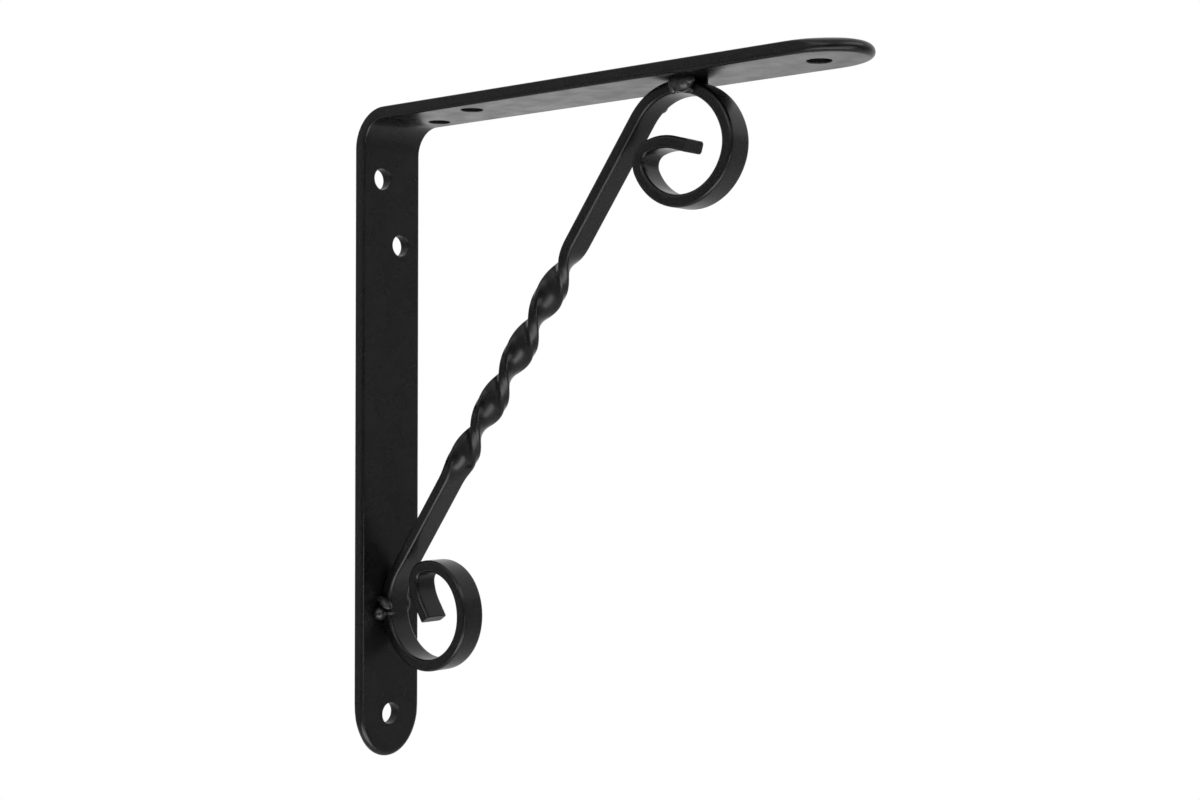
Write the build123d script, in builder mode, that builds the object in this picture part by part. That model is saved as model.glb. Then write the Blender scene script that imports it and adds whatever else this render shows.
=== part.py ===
from build123d import *
import os

# Wall bracket for a shelf: a flat bar bent to a right angle, and inside it a brace
# of thinner bar, scrolled at both ends and twisted between them, welded at each scroll.
# X runs out from the wall, Y across the strap and Z up. The origin is on the wall face,
# at half the strap's width and half its height.

# Strap
strap_width = 20.0
strap_thickness = 3.0
wall_leg = 166.5  # from the shelf face down to the tip
shelf_leg = 146.5  # from the wall face out to the tip
bend_radius = 7.0  # inside of the bend
strap_edge = 0.5  # broken edge of the bar

# Screw holes, two staggered near the bend and one near the tip of each leg
screw_hole = 5.5
hole_lip = 0.4
wall_pair_drop = 17.2
wall_pair_pitch = 16.8
wall_pair_stagger = 3.2
wall_tip_inset = 11.0
shelf_pair_reach = 16.5
shelf_pair_pitch = 19.0
shelf_pair_stagger = 3.8
shelf_tip_inset = 12.3

# Brace bar
bar_width = 7.0
bar_thickness = 3.0
bar_corner = 0.4

# Scrolls: each is a chain of arcs of the bar's centreline, from the straight inwards
shoulder_reach = 98.1  # wall face to the centre of the upper shoulder
shoulder_drop = 127.1  # shelf face to the centre of the lower shoulder
shoulder_radius = 14.5
upper_waist_radius = 10.7
upper_belly_radius = 13.1
upper_flare_radius = 12.6
lower_belly_radius = 13.1
lower_waist_radius = 10.9
lower_flare_radius = 12.0
eye_radius = 4.0
upper_turns = (126.6, 36.0, 136.0, 95.7, 35.6)
lower_turns = (97.0, 150.0, 74.4, 82.2, 25.9)
upper_tail = 3.5  # straight end of the scroll
lower_tail = 4.6

# Twist, left-handed
twist_lead = 32.5  # length of one full turn
twist_turns = 2
twist_ease = 6.0  # stretch at each end over which the twist sets in
twist_offset = 2.1  # from the middle of the brace towards the lower scroll
twist_step = 22.5  # turn between two lofted sections

# Weld beads: place along the bead and radius, from one end to the other
weld_profile = (
    (-4.2, 0),
    (-4.0, 1.1),
    (-3.1, 2.0),
    (-2.0, 2.3),
    (-1.2, 2.2),
    (-0.7, 2.8),
    (0.4, 3.2),
    (1.5, 2.9),
    (2.1, 2.1),
    (3.1, 1.9),
    (3.9, 1.0),
    (4.0, 0),
)
upper_weld_shift = 2.0  # past the centre of the shoulder
lower_weld_shift = 1.0

os.makedirs("parts", exist_ok=True)

upper_radii = (shoulder_radius, upper_waist_radius, upper_belly_radius, eye_radius, upper_flare_radius)
lower_radii = (shoulder_radius, lower_belly_radius, lower_waist_radius, eye_radius, lower_flare_radius)

shelf_level = wall_leg / 2
tip_radius = strap_width / 2
bend_outer = bend_radius + strap_thickness
bend_centre = shelf_level - bend_outer

# Both shoulders touch the strap, so their centres lie this far from its outer faces
shoulder_inset = strap_thickness + bar_thickness / 2 + shoulder_radius
upper_shoulder = Vector(shoulder_reach, 0, shelf_level - shoulder_inset)
lower_shoulder = Vector(shoulder_inset, 0, shelf_level - shoulder_drop)
brace_run = upper_shoulder - lower_shoulder
brace_dir = brace_run.normalized()
brace_side = Vector(-brace_dir.Z, 0, brace_dir.X)
brace_foot = lower_shoulder + brace_side * shoulder_radius
brace_head = upper_shoulder + brace_side * shoulder_radius

wall_holes = (
    (-wall_pair_stagger, shelf_level - wall_pair_drop),
    (wall_pair_stagger, shelf_level - wall_pair_drop - wall_pair_pitch),
    (0, wall_tip_inset - wall_leg / 2),
)
shelf_holes = (
    (shelf_pair_reach, shelf_pair_stagger),
    (shelf_pair_reach + shelf_pair_pitch, -shelf_pair_stagger),
    (shelf_leg - shelf_tip_inset, 0),
)

# The strap: two flat legs with round tips, joined by a quarter turn
with BuildPart() as angle_strap:
    wall_flat = wall_leg - bend_outer - tip_radius
    with BuildSketch(Plane.YZ):
        with Locations((0, bend_centre - wall_flat / 2)):
            Rectangle(strap_width, wall_flat)
        with Locations((0, bend_centre - wall_flat)):
            Circle(tip_radius)
    extrude(amount=strap_thickness)
    shelf_flat = shelf_leg - bend_outer - tip_radius
    with BuildSketch(Plane.XY.offset(shelf_level)):
        with Locations((bend_outer + shelf_flat / 2, 0)):
            Rectangle(shelf_flat, strap_width)
        with Locations((bend_outer + shelf_flat, 0)):
            Circle(tip_radius)
    extrude(amount=-strap_thickness)
    with BuildSketch(Plane.XY.offset(bend_centre)):
        with Locations((strap_thickness / 2, 0)):
            Rectangle(strap_thickness, strap_width)
    revolve(axis=Axis((bend_outer, 0, bend_centre), (0, 1, 0)), revolution_arc=90)
    # every edge but those across the strap and the short seams beside the round tips
    outline = angle_strap.edges().filter_by(Axis.Y, reverse=True)
    chamfer(outline.filter_by(lambda edge: edge.length > 2 * strap_thickness), strap_edge)
    with BuildSketch(Plane.YZ):
        with Locations(*wall_holes):
            Circle(screw_hole / 2)
    extrude(amount=strap_thickness, mode=Mode.SUBTRACT)
    with BuildSketch(Plane.XY.offset(shelf_level)):
        with Locations(*shelf_holes):
            Circle(screw_hole / 2)
    extrude(amount=-strap_thickness, mode=Mode.SUBTRACT)
    rounds = angle_strap.edges().filter_by(GeomType.CIRCLE)
    chamfer(rounds.filter_by(lambda edge: edge.radius < screw_hole), hole_lip)
angle_strap.part.label = "angle_strap"
export_step(angle_strap.part, "parts/angle_strap.step")


def scroll_line(spot, heading, radii, turns, hand, tail):
    # one scroll's centreline, turning left for hand 1 and right for hand -1
    with BuildLine(Plane.XZ) as line:
        start, direction = (spot.X, spot.Z), (heading.X, heading.Z)
        for radius, turn in zip(radii, turns):
            bend = JernArc(start, direction, radius, hand * turn)
            start, direction = bend @ 1, bend % 1
        PolarLine(start, tail, direction=direction)
    return line.wire()


def twist_angle(along):
    # a steady lead, with the rate rising and falling evenly over the eased ends
    rising = min(along, twist_ease)
    falling = max(along - twist_length + twist_ease, 0)
    steady = max(along - twist_ease, 0)
    turned = steady + (rising**2 / 2 - falling**2 / 2) / twist_ease
    return -360 * turned / twist_lead


def bar_section():
    # flat bar with its corners broken
    section = Rectangle(bar_width, bar_thickness)
    chamfer(section.vertices(), bar_corner)


def bar_plane(point, heading, roll=0):
    # across the bar, with the bar's width along Y where it isn't rolled
    return Plane(point, x_dir=(0, 1, 0), z_dir=heading).rotated((0, 0, roll))


# The brace: a scroll at each end, two straights, and the twist between them
twist_length = twist_turns * twist_lead + twist_ease
twist_start = (brace_run.length - twist_length) / 2 - twist_offset
twist_sections = round(abs(twist_angle(twist_length)) / twist_step)
with BuildPart() as scroll_brace:
    upper_line = scroll_line(brace_head, brace_dir, upper_radii, upper_turns, -1, upper_tail)
    lower_line = scroll_line(brace_foot, -brace_dir, lower_radii, lower_turns, 1, lower_tail)
    for line in (upper_line, lower_line):
        with BuildSketch(bar_plane(line @ 0, line % 0)):
            bar_section()
        sweep(path=line)
    with BuildSketch(bar_plane(brace_foot, brace_dir)):
        bar_section()
    extrude(amount=twist_start)
    with BuildSketch(bar_plane(brace_head, -brace_dir)):
        bar_section()
    extrude(amount=brace_run.length - twist_start - twist_length)
    for i in range(twist_sections + 1):
        along = twist_length * i / twist_sections
        spot = brace_foot + brace_dir * (twist_start + along)
        with BuildSketch(bar_plane(spot, brace_dir, twist_angle(along))):
            bar_section()
    loft()
scroll_brace.part.label = "scroll_brace"
export_step(scroll_brace.part, "parts/scroll_brace.step")


def lay_bead(spot, along, away):
    # a lumpy quarter round in the corner between the bar's side and the strap, on both sides
    corner = Plane(spot + Vector(0, bar_width / 2, 0), x_dir=along, z_dir=away)
    with BuildSketch(corner) as outline:
        with BuildLine():
            Polyline(*weld_profile, close=True)
        make_face()
    revolve(outline.sketch, axis=Axis(corner.origin, along), revolution_arc=90)
    mirror(about=Plane.XZ)


# The weld beads, under the shelf leg and on the wall leg
with BuildPart() as upper_weld:
    upper_spot = Vector(shoulder_reach + upper_weld_shift, 0, shelf_level - strap_thickness)
    lay_bead(upper_spot, Vector(-1, 0, 0), Vector(0, 0, -1))
upper_weld.part.label = "upper_weld"
export_step(upper_weld.part, "parts/upper_weld.step")

with BuildPart() as lower_weld:
    lower_spot = Vector(strap_thickness, 0, shelf_level - shoulder_drop - lower_weld_shift)
    lay_bead(lower_spot, Vector(0, 0, -1), Vector(1, 0, 0))
lower_weld.part.label = "lower_weld"
export_step(lower_weld.part, "parts/lower_weld.step")
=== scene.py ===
import bpy
import bmesh
from math import cos, degrees, pi, radians, sin
from mathutils import Matrix, Vector


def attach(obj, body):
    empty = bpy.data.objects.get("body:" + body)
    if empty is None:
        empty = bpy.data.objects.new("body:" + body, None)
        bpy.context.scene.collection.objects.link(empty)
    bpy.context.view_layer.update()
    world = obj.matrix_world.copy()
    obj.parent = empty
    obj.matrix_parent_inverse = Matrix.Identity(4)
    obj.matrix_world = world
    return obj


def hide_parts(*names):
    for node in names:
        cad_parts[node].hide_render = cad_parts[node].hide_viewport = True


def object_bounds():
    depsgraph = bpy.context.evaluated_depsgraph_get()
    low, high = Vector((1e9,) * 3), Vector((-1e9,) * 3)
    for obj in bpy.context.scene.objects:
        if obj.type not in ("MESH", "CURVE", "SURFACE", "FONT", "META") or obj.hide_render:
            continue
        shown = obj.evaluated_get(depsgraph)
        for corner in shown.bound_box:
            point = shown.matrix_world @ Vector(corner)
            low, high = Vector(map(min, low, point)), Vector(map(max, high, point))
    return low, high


# A shelf bracket: an angle of flat bar with a twisted and scrolled brace welded inside it.
# The pieces are made in millimetres and scaled to metres as they are finished.
# X runs out from the wall, Y across the strap and Z up.

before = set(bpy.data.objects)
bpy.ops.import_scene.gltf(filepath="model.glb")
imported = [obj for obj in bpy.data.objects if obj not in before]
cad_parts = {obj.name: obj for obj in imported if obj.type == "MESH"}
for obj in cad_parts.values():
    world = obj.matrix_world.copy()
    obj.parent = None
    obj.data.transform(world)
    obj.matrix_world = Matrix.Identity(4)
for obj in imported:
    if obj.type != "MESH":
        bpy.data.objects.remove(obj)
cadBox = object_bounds()
scene = bpy.context.scene
mm = 0.001
seam = 0.0005  # mm, corners nearer than this are one
boxLow, boxHigh = (Vector(corner) / mm for corner in cadBox)


def addPiece(name, bm, material):
    mesh = bpy.data.meshes.new(name)
    bm.to_mesh(mesh)
    bm.free()
    mesh.materials.append(material)
    piece = bpy.data.objects.new(name, mesh)
    scene.collection.objects.link(piece)
    return piece


def finishPiece(name, bm, replaced, material):
    # closes a mesh, scales it to metres, shades it smooth and hands it to the frame
    bmesh.ops.remove_doubles(bm, verts=bm.verts, dist=seam)
    bmesh.ops.recalc_face_normals(bm, faces=bm.faces)
    bmesh.ops.scale(bm, vec=(mm, mm, mm), verts=bm.verts)
    for face in bm.faces:
        face.smooth = True
    piece = addPiece(name, bm, material)
    normals = piece.modifiers.new("weightedNormal", "WEIGHTED_NORMAL")
    normals.weight = 100
    normals.keep_sharp = True
    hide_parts(replaced)
    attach(piece, "root")
    print(name, "made,", len(piece.data.polygons), "faces")


def stagePiece(name, bm, material, seen):
    # part of the set and not of the bracket; what isn't seen still shows in the paint
    piece = addPiece(name, bm, material)
    piece.visible_camera = seen


def cornersOf(ring):
    # each corner of a ring of edges, once
    return list(dict.fromkeys(vert for edge in ring for vert in edge.verts))


def extrudeRing(bm, ring):
    # draws a ring of edges out, and gives its new corners and its new edges
    made = bmesh.ops.extrude_edge_only(bm, edges=ring)["geom"]
    verts = [item for item in made if isinstance(item, bmesh.types.BMVert)]
    edges = [item for item in made if isinstance(item, bmesh.types.BMEdge)
             and item.verts[0] in verts and item.verts[1] in verts]
    return verts, edges


def toLinear(hexColour):
    # sRGB hex to linear RGBA
    channels = [int(hexColour[i:i + 2], 16) / 255 for i in (0, 2, 4)]
    linear = [c / 12.92 if c <= 0.04045 else ((c + 0.055) / 1.055) ** 2.4 for c in channels]
    return (*linear, 1)


def addNode(tree, kind, settings=None, inputs=None, links=None):
    # one node with its settings, its socket values and what feeds it
    node = tree.nodes.new(kind)
    for key, value in (settings or {}).items():
        setattr(node, key, value)
    for key, value in (inputs or {}).items():
        node.inputs[key].default_value = value
    for key, source in (links or {}).items():
        tree.links.new(source, node.inputs[key])
    return node


def newMaterial(name):
    material = bpy.data.materials.new(name)
    material.use_nodes = True
    material.node_tree.nodes.clear()
    return material, material.node_tree


# satin black enamel sprayed over hot-rolled bar
barPaint = {
    "colour": "060606",
    "paleColour": "101010",  # where the film is thin
    "ior": 1.31,  # enamel has about 1.5, and the matting agent in it takes the shine down
    "roughness": 0.27,
    "shinier": 0.04,  # how far the roughness strays either way along the waves
    "duller": 0.06,
    "grainSize": 0.55,  # mm, the fine pebble of the sprayed film
    "grainDepth": 0.006,
    "rollSize": 6.0,  # mm, the faint waviness that hot rolling leaves under the paint
    "rollDepth": 0.02,
}

# the same enamel where it has flowed out thick over the weld, a little paler and with a stronger sheen
weldPaint = dict(barPaint, colour="121212", paleColour="202020", ior=1.42, roughness=0.32)


def makeBlackPaint(name, film):
    # a dark skin with a fine pebble and soft, slightly uneven reflections
    material, tree = newMaterial(name)
    place = addNode(tree, "ShaderNodeTexCoord").outputs["Object"]
    roll = addNode(tree, "ShaderNodeTexNoise",
                   inputs={"Scale": 1 / (film["rollSize"] * mm), "Detail": 2.0, "Roughness": 0.5},
                   links={"Vector": place})
    grain = addNode(tree, "ShaderNodeTexNoise",
                    inputs={"Scale": 1 / (film["grainSize"] * mm), "Detail": 2.0, "Roughness": 0.6},
                    links={"Vector": place})
    thin = addNode(tree, "ShaderNodeMapRange", inputs={"From Min": 0.35, "From Max": 0.7},
                   links={"Value": grain.outputs["Fac"]})
    colour = addNode(tree, "ShaderNodeMix", {"data_type": "RGBA"},
                     inputs={6: toLinear(film["colour"]), 7: toLinear(film["paleColour"])},
                     links={0: thin.outputs["Result"]})
    gloss = addNode(tree, "ShaderNodeMapRange",
                    inputs={"From Min": 0.3, "From Max": 0.7,
                            "To Min": film["roughness"] - film["shinier"],
                            "To Max": film["roughness"] + film["duller"]},
                    links={"Value": roll.outputs["Fac"]})
    waves = addNode(tree, "ShaderNodeBump",
                    inputs={"Strength": 1.0, "Distance": film["rollDepth"] * mm},
                    links={"Height": roll.outputs["Fac"]})
    pebble = addNode(tree, "ShaderNodeBump",
                     inputs={"Strength": 1.0, "Distance": film["grainDepth"] * mm},
                     links={"Height": grain.outputs["Fac"], "Normal": waves.outputs["Normal"]})
    shader = addNode(tree, "ShaderNodeBsdfPrincipled",
                     inputs={"IOR": film["ior"]},
                     links={"Base Color": colour.outputs[2], "Roughness": gloss.outputs["Result"],
                            "Normal": pebble.outputs["Normal"]})
    addNode(tree, "ShaderNodeOutputMaterial", links={"Surface": shader.outputs["BSDF"]})
    return material


satinBlack = makeBlackPaint("satinBlackEnamel", barPaint)
flowedBlack = makeBlackPaint("flowedBlackEnamel", weldPaint)
print("paint mixed")

# the strap: flat bar bent to an angle, its three outside sizes taken from the solids
strap = {
    "width": round(boxHigh.y - boxLow.y, 3),
    "thickness": 3.0,
    "wallLeg": round(boxHigh.z - boxLow.z, 3),
    "shelfLeg": round(boxHigh.x - boxLow.x, 3),
    "bendRadius": 7.0,  # inside of the bend
    "edge": 0.35,  # the outer edges are crisp
    "roll": 0.8,  # and the inner ones drawn round
    "crown": 1.8,  # both tips are ground round, more so on the outer face than the inner
    "innerCrown": 1.2,
    "crownStart": 14.0,  # how far from the tip the crown begins to grow
    "crownFull": 5.0,  # and how far from it the crown is full
    "tip": 11.4,  # the tips are a little longer than half round
    "hole": 5.5,
    "lip": 0.28,
    "wallHoles": ((-3.2, 17.2), (3.2, 34.0), (0.0, 155.5)),  # across, and down from the shelf face
    "shelfHoles": ((3.8, 16.5), (-3.8, 35.5), (0.0, 134.2)),  # across, and out from the wall face
    "tipSteps": 48,
    "sideSteps": 120,
    "holeSteps": 56,
    "edgeSteps": 8,
    "bendSteps": 30,
}
shelfLevel = strap["wallLeg"] / 2
bendOuter = strap["bendRadius"] + strap["thickness"]
bendLength = bendOuter * pi / 2  # the flat blank is laid out along the strap's outer face
wallFlat = strap["wallLeg"] - bendOuter
blankLength = wallFlat + bendLength + strap["shelfLeg"] - bendOuter
halfWidth = strap["width"] / 2


def bendPoint(point):
    # from the flat blank (x along it from the wall tip, y across, z from the outer face inwards) to the angle
    along, across, depth = point
    if along <= wallFlat:
        return Vector((depth, across, along - shelfLevel))
    if along >= wallFlat + bendLength:
        return Vector((bendOuter + along - wallFlat - bendLength, across, shelfLevel - depth))
    turn = (along - wallFlat) / bendOuter
    radius = bendOuter - depth
    return Vector((bendOuter - radius * cos(turn), across, shelfLevel - bendOuter + radius * sin(turn)))


def strapEdge(along, side):
    # the rounding of the outer edge (side 0) or the inner (side 1), swelling to the crown at the tips
    fromTip = min(along, blankLength - along)
    share = (strap["crownStart"] - fromTip) / (strap["crownStart"] - strap["crownFull"])
    share = min(max(share, 0), 1)
    share = share * share * (3 - 2 * share)
    plain, crowned = (strap["roll"], strap["innerCrown"]) if side else (strap["edge"], strap["crown"])
    return plain + (crowned - plain) * share


def holeLip(along, side):
    # the same all round every hole
    return strap["lip"]


def roundedWall(bm, ring, edgeRounds, place):
    # carries a ring from the outer face to the inner one, over a rounded edge at each
    steps = strap["edgeSteps"]
    levels = [(side, i / steps) for side in (0, 1) for i in range(steps + 1)]
    verts = cornersOf(ring)
    for number, (side, share) in enumerate(levels):
        if number:
            verts, ring = extrudeRing(bm, ring)
        angle = share * pi / 2
        for vert in verts:
            size = edgeRounds(vert.co.x, side)
            if side:
                place(vert, size * (1 - cos(angle)), strap["thickness"] - size * (1 - sin(angle)))
            else:
                place(vert, size * (1 - sin(angle)), size * (1 - cos(angle)))
    return ring


def outlineSpot(vert, inwards, depth):
    # a point of the outline moved towards the strap's middle line, the tips being half ellipses
    middle = Vector((min(max(vert.co.x, strap["tip"]), blankLength - strap["tip"]), 0, 0))
    longer = strap["tip"] / halfWidth
    out = Vector(((vert.co.x - middle.x) / longer, vert.co.y, 0)).normalized() * (halfWidth - inwards)
    vert.co = middle + Vector((out.x * longer, out.y, depth))


def makeOutline(bm):
    # the blank's outline, with round ends and sides fine enough for the crown to grow along them
    made = bmesh.ops.create_grid(bm, x_segments=1, y_segments=1, size=0.5)["verts"]
    bmesh.ops.scale(bm, vec=(blankLength, strap["width"], 1), verts=made)
    bmesh.ops.translate(bm, vec=(blankLength / 2, 0, 0), verts=made)
    nearlyHalf = halfWidth * 0.9999  # the two rounds of an end stop just short of each other
    bmesh.ops.bevel(bm, geom=made, offset=nearlyHalf, segments=strap["tipSteps"] // 2,
                    profile=0.5, affect="VERTICES", material=-1)
    bmesh.ops.remove_doubles(bm, verts=bm.verts, dist=0.01)
    bmesh.ops.delete(bm, geom=bm.faces[:], context="FACES_ONLY")
    sides = [edge for edge in bm.edges if edge.calc_length() > strap["width"]]
    bmesh.ops.subdivide_edges(bm, edges=sides, cuts=strap["sideSteps"])
    return bm.edges[:]


def makeHole(bm, along, across):
    # a hole's wall, from its rim on the outer face to the one on the inner face
    centre = Vector((along, across, 0))

    def holeSpot(vert, inwards, depth):
        # the wall lies at the hole's radius, and the lip opens from there
        out = (Vector((vert.co.x, vert.co.y, 0)) - centre).normalized()
        vert.co = centre + out * (strap["hole"] / 2 + inwards) + Vector((0, 0, depth))

    ring = bmesh.ops.create_circle(bm, segments=strap["holeSteps"], radius=strap["hole"] / 2)["verts"]
    bmesh.ops.translate(bm, vec=centre, verts=ring)
    rim = list(dict.fromkeys(edge for vert in ring for edge in vert.link_edges))
    return rim, roundedWall(bm, rim, holeLip, holeSpot)


def makeStrap():
    bm = bmesh.new()
    outerRims = makeOutline(bm)
    innerRims = roundedWall(bm, outerRims, strapEdge, outlineSpot)
    holes = [(strap["wallLeg"] - drop, across) for across, drop in strap["wallHoles"]]
    holes += [(wallFlat + bendLength + reach - bendOuter, across) for across, reach in strap["shelfHoles"]]
    for along, across in holes:
        outerRim, innerRim = makeHole(bm, along, across)
        outerRims += outerRim
        innerRims += innerRim
    for rims in (outerRims, innerRims):
        bmesh.ops.triangle_fill(bm, edges=rims, use_beauty=True, use_dissolve=False)
        for edge in rims:
            edge.smooth = False  # the flats keep their own normal up to the rolled edge
    for step in range(strap["bendSteps"] + 1):
        cut = wallFlat + bendLength * step / strap["bendSteps"]
        bmesh.ops.bisect_plane(bm, geom=bm.verts[:] + bm.edges[:] + bm.faces[:], plane_co=(cut, 0, 0),
                               plane_no=(1, 0, 0), dist=0.0001)
    for vert in bm.verts:
        vert.co = bendPoint(vert.co)
    finishPiece("flatBarAngle", bm, "angle_strap", satinBlack)


makeStrap()

# the brace: one bar, scrolled at both ends and twisted between them
brace = {
    "width": 7.0,
    "thickness": 3.0,
    "corner": 0.8,  # rolled edge
    "endCorner": 0.25,  # where the bar was cut off
    "shoulderReach": 98.1,  # wall face to the centre of the upper shoulder
    "shoulderDrop": 127.1,  # shelf face to the centre of the lower shoulder
    "shoulderRadius": 14.5,
    "upperTurn": 126.6,  # degrees that the bar turns round its shoulder
    "lowerTurn": 97.0,
    # radius and turn of each further bend, inwards
    "upperScroll": ((10.7, 36.0), (13.1, 136.0), (4.0, 95.7), (12.6, 35.6)),
    "lowerScroll": ((13.1, 150.0), (10.9, 74.4), (4.0, 82.2), (12.0, 25.9)),
    "upperTail": 3.5,
    "lowerTail": 4.6,
    "twistLead": 32.5,
    "twistTurns": 2,
    "twistEase": 6.0,
    "twistOffset": 2.1,  # towards the lower scroll
    "arcStep": 3.0,  # degrees between rings
    "twistStep": 0.6,  # mm between rings
    "cornerSteps": 6,
    "flatCuts": 5,  # across each flat of the bar
}
inset = strap["thickness"] + brace["thickness"] / 2 + brace["shoulderRadius"]
upperShoulder = Vector((brace["shoulderReach"], 0, shelfLevel - inset))
lowerShoulder = Vector((inset, 0, shelfLevel - brace["shoulderDrop"]))
run = upperShoulder - lowerShoulder
braceDir = run.normalized()
braceSide = Vector((-braceDir.z, 0, braceDir.x))
braceFoot = lowerShoulder + braceSide * brace["shoulderRadius"]
braceHead = upperShoulder + braceSide * brace["shoulderRadius"]
twistLength = brace["twistTurns"] * brace["twistLead"] + brace["twistEase"]
twistStart = (run.length - twistLength) / 2 - brace["twistOffset"]


def twistAngle(along):
    # a steady lead, with the rate rising and falling evenly over the eased ends
    ease = brace["twistEase"]
    rising = min(along, ease)
    falling = max(along - twistLength + ease, 0)
    steady = max(along - ease, 0)
    return -2 * pi * (steady + (rising ** 2 / 2 - falling ** 2 / 2) / ease) / brace["twistLead"]


def sectionRing(bm, centre, heading):
    # the bar's section as a ring of edges, its width along Y
    made = bmesh.ops.create_grid(bm, x_segments=1, y_segments=1, size=0.5)["verts"]
    bmesh.ops.scale(bm, vec=(brace["width"], brace["thickness"], 1), verts=made)
    bmesh.ops.bevel(bm, geom=made, offset=brace["corner"], segments=brace["cornerSteps"], profile=0.5,
                    affect="VERTICES", material=-1)
    sides = [edge for edge in bm.edges if edge.calc_length() > brace["corner"]]
    bmesh.ops.subdivide_edges(bm, edges=sides, cuts=brace["flatCuts"])
    bmesh.ops.delete(bm, geom=bm.faces[:], context="FACES_ONLY")
    across = Vector((0, 1, 0))
    turn = Matrix((across, heading.cross(across), heading)).transposed()
    bmesh.ops.rotate(bm, cent=(0, 0, 0), matrix=turn, verts=bm.verts)
    bmesh.ops.translate(bm, vec=centre, verts=bm.verts)
    return bm.edges[:]


def extend(bm, ring, offset, roll=0.0, axisPoint=None):
    # carries the ring along, rolled about the brace's own axis
    verts, ring = extrudeRing(bm, ring)
    bmesh.ops.translate(bm, vec=offset, verts=verts)
    if roll:
        bmesh.ops.rotate(bm, cent=axisPoint, matrix=Matrix.Rotation(roll, 3, braceDir), verts=verts)
    return ring


def spinArc(bm, ring, centre, turn):
    # sweeps the ring about Y; a positive turn is clockwise seen from -Y
    made = bmesh.ops.spin(bm, geom=cornersOf(ring) + ring, cent=centre, axis=(0, 1, 0), dvec=(0, 0, 0),
                          angle=turn, steps=max(4, round(degrees(abs(turn)) / brace["arcStep"])),
                          use_merge=False, use_duplicate=False)["geom_last"]
    return [item for item in made if isinstance(item, bmesh.types.BMEdge)]


def scrollBend(bm, ring, spot, heading, which, hand):
    # the upper or lower scroll, from the straight of the brace to the cut end of the bar
    shoulder = (brace["shoulderRadius"], brace[which + "Turn"])
    for radius, sweep in (shoulder, *brace[which + "Scroll"]):
        side = Vector((-heading.z, 0, heading.x)) * hand
        centre = spot + side * radius
        turn = -radians(sweep) * hand
        ring = spinArc(bm, ring, centre, turn)
        swing = Matrix.Rotation(turn, 3, "Y")
        spot = centre + swing @ (spot - centre)
        heading = swing @ heading
    ring = extend(bm, ring, heading * brace[which + "Tail"])
    cap = bmesh.ops.contextual_create(bm, geom=ring)["faces"]
    rim = [edge for face in cap for edge in face.edges]
    bmesh.ops.bevel(bm, geom=rim, offset=brace["endCorner"], segments=3, profile=0.5, affect="EDGES",
                    material=-1)


def makeBrace():
    bm = bmesh.new()
    ring = sectionRing(bm, braceFoot, braceDir)
    start = list(ring)
    ring = extend(bm, ring, braceDir * twistStart)
    steps = round(twistLength / brace["twistStep"])
    for i in range(steps):
        here = twistLength * (i + 1) / steps
        roll = twistAngle(here) - twistAngle(twistLength * i / steps)
        spot = braceFoot + braceDir * (twistStart + here)
        ring = extend(bm, ring, braceDir * (twistLength / steps), roll, spot)
    ring = extend(bm, ring, braceDir * (run.length - twistStart - twistLength))
    scrollBend(bm, ring, braceHead, braceDir, "upper", -1)
    start = [edge for edge in start if edge.is_valid]
    scrollBend(bm, start, braceFoot, -braceDir, "lower", 1)
    finishPiece("scrolledBrace", bm, "scroll_brace", satinBlack)


makeBrace()

# the welds: a bead of merged lumps on each side of the bar, at each shoulder
weld = {
    "upperPlace": 100.0,  # out from the wall face, to the middle of the bead
    "lowerPlace": 128.1,  # down from the shelf face
    "voxel": 0.12,
    "smoothings": 9,
    # lumps: place along the bead, out from the bar's side and away from the strap, the three half sizes
    # in the same order, and the lean from the strap in degrees
    "upperNear": (
        (1.1, 1.0, 1.0, 2.7, 2.1, 2.4, 0),
        (3.3, 1.5, 0.9, 1.4, 1.2, 1.3, 0),
        (-1.5, 0.9, 2.5, 1.0, 1.0, 1.1, 0),
        (-1.2, 1.4, 0.8, 1.0, 1.2, 2.2, 0),
        (3.0, 0.1, 3.0, 0.7, 0.5, 0.6, 0),
        (0.1, 6.0, 0.1, 2.7, 0.4, 0.3, 0),  # a smear along the strap's edge
    ),
    "upperFar": (
        (-1.3, 0.4, 0.7, 2.3, 1.2, 1.6, 0),
        (0.9, 0.2, 0.5, 1.3, 0.9, 1.1, 0),
        (-2.9, 0.3, 0.7, 1.3, 1.1, 1.3, 0),
        (-9.9, -0.1, 4.9, 1.3, 0.6, 0.6, 40),  # a stray drop, further down the brace
    ),
    "lowerNear": (
        (1.1, 1.2, 1.0, 1.7, 1.8, 1.5, 0),
        (-1.5, 0.6, 2.4, 1.1, 1.5, 2.2, 35),
        (0.9, 0.0, 3.2, 0.7, 1.0, 1.5, 0),
        (-2.5, 0.7, 0.6, 0.8, 0.8, 1.0, 0),
    ),
    "lowerFar": (
        (-0.9, 0.0, 2.1, 2.1, 0.8, 1.2, 0),
        (1.3, 0.5, 0.5, 1.5, 1.3, 1.2, 0),
        (-2.4, 0.5, 0.6, 1.2, 1.2, 1.2, 0),
    ),
}


def layLumps(bm, spot, along, away, side, lumps):
    # each lump is a ball drawn out of round and leant in the plane of the bar's side
    out = Vector((0, side, 0))
    square = Matrix((along, out, away)).transposed()
    for shift, clear, rise, halfLong, halfOut, halfRise, lean in lumps:
        ball = bmesh.ops.create_icosphere(bm, subdivisions=4, radius=1.0)["verts"]
        turn = square @ Matrix.Rotation(radians(lean), 3, "Y")
        stretch = Matrix.Diagonal((halfLong, halfOut, halfRise))
        bmesh.ops.transform(bm, matrix=(turn @ stretch).to_4x4(), verts=ball)
        centre = spot + along * shift + out * (brace["width"] / 2 + clear) + away * rise
        bmesh.ops.translate(bm, vec=centre, verts=ball)


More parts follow.
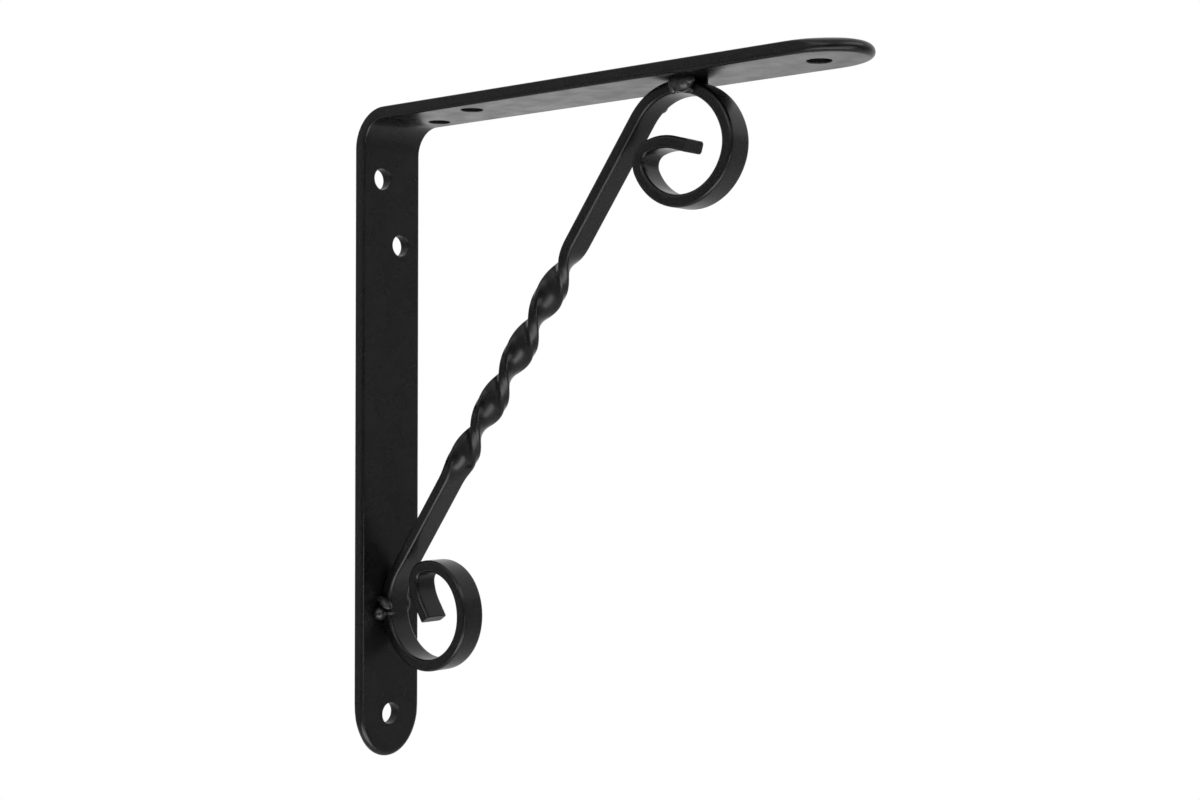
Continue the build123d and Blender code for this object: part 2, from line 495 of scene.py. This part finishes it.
def mergeLumps(name, bm):
    # one smooth skin over all the lumps
    bmesh.ops.recalc_face_normals(bm, faces=bm.faces)
    lumps = addPiece(name, bm, flowedBlack)
    remesh = lumps.modifiers.new("merge", "REMESH")
    remesh.mode = "VOXEL"
    remesh.voxel_size = weld["voxel"]
    merged = lumps.evaluated_get(bpy.context.evaluated_depsgraph_get())
    skin = bmesh.new()
    skin.from_mesh(merged.to_mesh())
    bpy.data.objects.remove(lumps)
    for _ in range(weld["smoothings"]):
        bmesh.ops.smooth_vert(skin, verts=skin.verts, factor=0.5,
                              use_axis_x=True, use_axis_y=True, use_axis_z=True)
    return skin


def makeWeld(name, replaced, spot, along, away, near, far):
    bm = bmesh.new()
    layLumps(bm, spot, along, away, -1, near)
    layLumps(bm, spot, along, away, 1, far)
    finishPiece(name, mergeLumps(name + "Lumps", bm), replaced, flowedBlack)


outwards, downwards = Vector((1, 0, 0)), Vector((0, 0, -1))
makeWeld("upperWeldBead", "upper_weld", Vector((weld["upperPlace"], 0, shelfLevel - strap["thickness"])),
         outwards, downwards, weld["upperNear"], weld["upperFar"])
makeWeld("lowerWeldBead", "lower_weld", Vector((strap["thickness"], 0, shelfLevel - weld["lowerPlace"])),
         downwards, outwards, weld["lowerNear"], weld["lowerFar"])

# the set, in metres: black paint shows little more than what it mirrors, so the screen, the cloth
# and the five lamps are placed for their reflections
studio = {
    "middle": (0.07, 0.0, 0.0),
    "fill": 0.6,  # the world's light on the object; the backdrop that is seen stays white
    "floorDrop": 0.6,  # below the middle of the bracket
    "floorSize": 24.0,
    "paper": "f6f6f6",
    "mattReach": 1.1,  # the paper is matt up to here, where it takes the shadow
    "whiteReach": 2.0,  # and as white as the backdrop from here on
    "screenGrey": "d4d4d4",
    "screenReach": 1.3,
    "screenHeight": 1.0,
    "screenOpening": (-35, 0.45),  # bearing of the open side, and how much of the reach is kept there
    "clothBlack": "1c1c1c",
    "clothBearing": 112,
    "clothReach": 0.56,
    "clothSize": (0.95, 0.33),
    "clothRise": -0.05,
    # bearing from +Y towards +X and angle above the level, in degrees, then reach, width, height, radiance
    "lamps": {
        "lowBox": (133, -54, 0.62, 1.0, 0.26, 6.0),
        "stripBox": (98, -13.5, 0.5, 0.28, 0.06, 8.0),
        "backBox": (165, 30, 0.8, 0.5, 0.25, 3.0),
        "sideBox": (85, 38, 0.8, 0.7, 0.25, 3.6),
        "topBox": (-60, 72, 1.0, 0.9, 0.9, 1.2),
    },
}


def bearing(turn, height, reach):
    # a point of the set, seen from the middle of the bracket
    return Vector(studio["middle"]) + reach * Vector((sin(radians(turn)) * cos(radians(height)),
                                                      cos(radians(turn)) * cos(radians(height)),
                                                      sin(radians(height))))


def seenWhite(tree):
    # 1 for what the camera, a reflection or a clear body sees
    path = addNode(tree, "ShaderNodeLightPath")
    seen = addNode(tree, "ShaderNodeMath", {"operation": "MAXIMUM"},
                   links={0: path.outputs["Is Camera Ray"], 1: path.outputs["Is Glossy Ray"]})
    return addNode(tree, "ShaderNodeMath", {"operation": "MAXIMUM"},
                   links={0: seen.outputs[0], 1: path.outputs["Is Transmission Ray"]}).outputs[0]


def makeWorld():
    world = bpy.data.worlds.new("whiteStudio")
    scene.world = world
    world.use_nodes = True
    tree = world.node_tree
    tree.nodes.clear()
    white = addNode(tree, "ShaderNodeBackground", inputs={"Color": (1, 1, 1, 1), "Strength": 1.0})
    fill = addNode(tree, "ShaderNodeBackground", inputs={"Color": (1, 1, 1, 1), "Strength": studio["fill"]})
    mix = addNode(tree, "ShaderNodeMixShader",
                  links={0: seenWhite(tree), 1: fill.outputs[0], 2: white.outputs[0]})
    addNode(tree, "ShaderNodeOutputWorld", links={"Surface": mix.outputs[0]})


def makeFloor():
    # white paper: matt near the object, and as white as the backdrop further off
    bm = bmesh.new()
    bmesh.ops.create_grid(bm, x_segments=1, y_segments=1, size=studio["floorSize"] / 2)
    bmesh.ops.translate(bm, vec=(0, 0, -studio["floorDrop"]), verts=bm.verts)
    material, tree = newMaterial("whitePaper")
    place = addNode(tree, "ShaderNodeTexCoord").outputs["Object"]
    spread = addNode(tree, "ShaderNodeVectorMath", {"operation": "LENGTH"}, links={0: place})
    far = addNode(tree, "ShaderNodeMapRange",
                  inputs={"From Min": studio["mattReach"], "From Max": studio["whiteReach"]},
                  links={"Value": spread.outputs["Value"]})
    share = addNode(tree, "ShaderNodeMath", {"operation": "MULTIPLY"},
                    links={0: far.outputs["Result"], 1: seenWhite(tree)})
    paper = addNode(tree, "ShaderNodeBsdfDiffuse", inputs={"Color": toLinear(studio["paper"])})
    white = addNode(tree, "ShaderNodeEmission", inputs={"Color": (1, 1, 1, 1), "Strength": 1.0})
    mix = addNode(tree, "ShaderNodeMixShader",
                  links={0: share.outputs[0], 1: paper.outputs[0], 2: white.outputs[0]})
    addNode(tree, "ShaderNodeOutputMaterial", links={"Surface": mix.outputs[0]})
    stagePiece("paperFloor", bm, material, seen=True)


def makeFelt(name, colour):
    # dyed wool that mirrors nothing
    material, tree = newMaterial(name)
    wool = addNode(tree, "ShaderNodeBsdfDiffuse", inputs={"Color": toLinear(colour)})
    addNode(tree, "ShaderNodeOutputMaterial", links={"Surface": wool.outputs[0]})
    return material


def makeScreen():
    # a grey screen round the camera's side of the set, open on the far side
    bm = bmesh.new()
    ring = bmesh.ops.create_circle(bm, segments=72, radius=studio["screenReach"])["verts"]
    bmesh.ops.translate(bm, vec=(studio["middle"][0], 0, -studio["floorDrop"]), verts=ring)
    raised, _ = extrudeRing(bm, bm.edges[:])
    bmesh.ops.translate(bm, vec=(0, 0, studio["screenHeight"]), verts=raised)
    openTurn, kept = studio["screenOpening"]
    away = bearing(openTurn, 0, studio["screenReach"] * kept)
    behind = (away - Vector(studio["middle"])).normalized()
    bmesh.ops.bisect_plane(bm, geom=bm.verts[:] + bm.edges[:] + bm.faces[:], plane_co=away,
                           plane_no=behind, clear_outer=True)
    stagePiece("greyScreen", bm, makeFelt("greyFelt", studio["screenGrey"]), seen=False)


def makeCloth():
    # the dark behind the camera, which draws the thin line on edges that face it
    turn = studio["clothBearing"]
    bm = bmesh.new()
    made = bmesh.ops.create_grid(bm, x_segments=1, y_segments=1, size=0.5)["verts"]
    bmesh.ops.scale(bm, vec=(*studio["clothSize"], 1), verts=made)
    bmesh.ops.rotate(bm, matrix=Matrix.Rotation(radians(90), 3, "X"), verts=made)
    bmesh.ops.rotate(bm, matrix=Matrix.Rotation(radians(-turn), 3, "Z"), verts=made)
    bmesh.ops.translate(bm, vec=bearing(turn, 0, studio["clothReach"]), verts=made)
    bmesh.ops.translate(bm, vec=(0, 0, studio["clothRise"]), verts=made)
    stagePiece("blackCloth", bm, makeFelt("blackFelt", studio["clothBlack"]), seen=False)


def addSoftbox(name, turn, height, reach, width, tall, radiance):
    data = bpy.data.lights.new(name, "AREA")
    data.shape = "RECTANGLE"
    data.size = width
    data.size_y = tall
    data.energy = radiance * pi * width * tall
    lamp = bpy.data.objects.new(name, data)
    lamp.location = bearing(turn, height, reach)
    lamp.rotation_euler = (Vector(studio["middle"]) - lamp.location).to_track_quat("-Z", "Y").to_euler()
    lamp.visible_camera = False
    scene.collection.objects.link(lamp)


makeWorld()
makeFloor()
makeScreen()
makeCloth()
for lampName, lampPlace in studio["lamps"].items():
    addSoftbox(lampName, *lampPlace)
print("studio lit")

# the camera looks level at the bracket from its front right, with the shelf leg above it
view = {
    "spot": (0.337, -0.31394, 0.00529),
    "turn": (90.4725, -0.0902, 39.9877),
    "lens": 52.58,  # mm, as is the sensor's width
    "sensor": 36.0,
    "nearest": 0.01,
}
cameraData = bpy.data.cameras.new("camera")
cameraData.sensor_width = view["sensor"]
cameraData.lens = view["lens"]
cameraData.clip_start = view["nearest"]
camera = bpy.data.objects.new("camera", cameraData)
camera.location = view["spot"]
camera.rotation_euler = [radians(angle) for angle in view["turn"]]
scene.collection.objects.link(camera)
scene.camera = camera
scene.view_settings.view_transform = "Standard"
print("camera set")
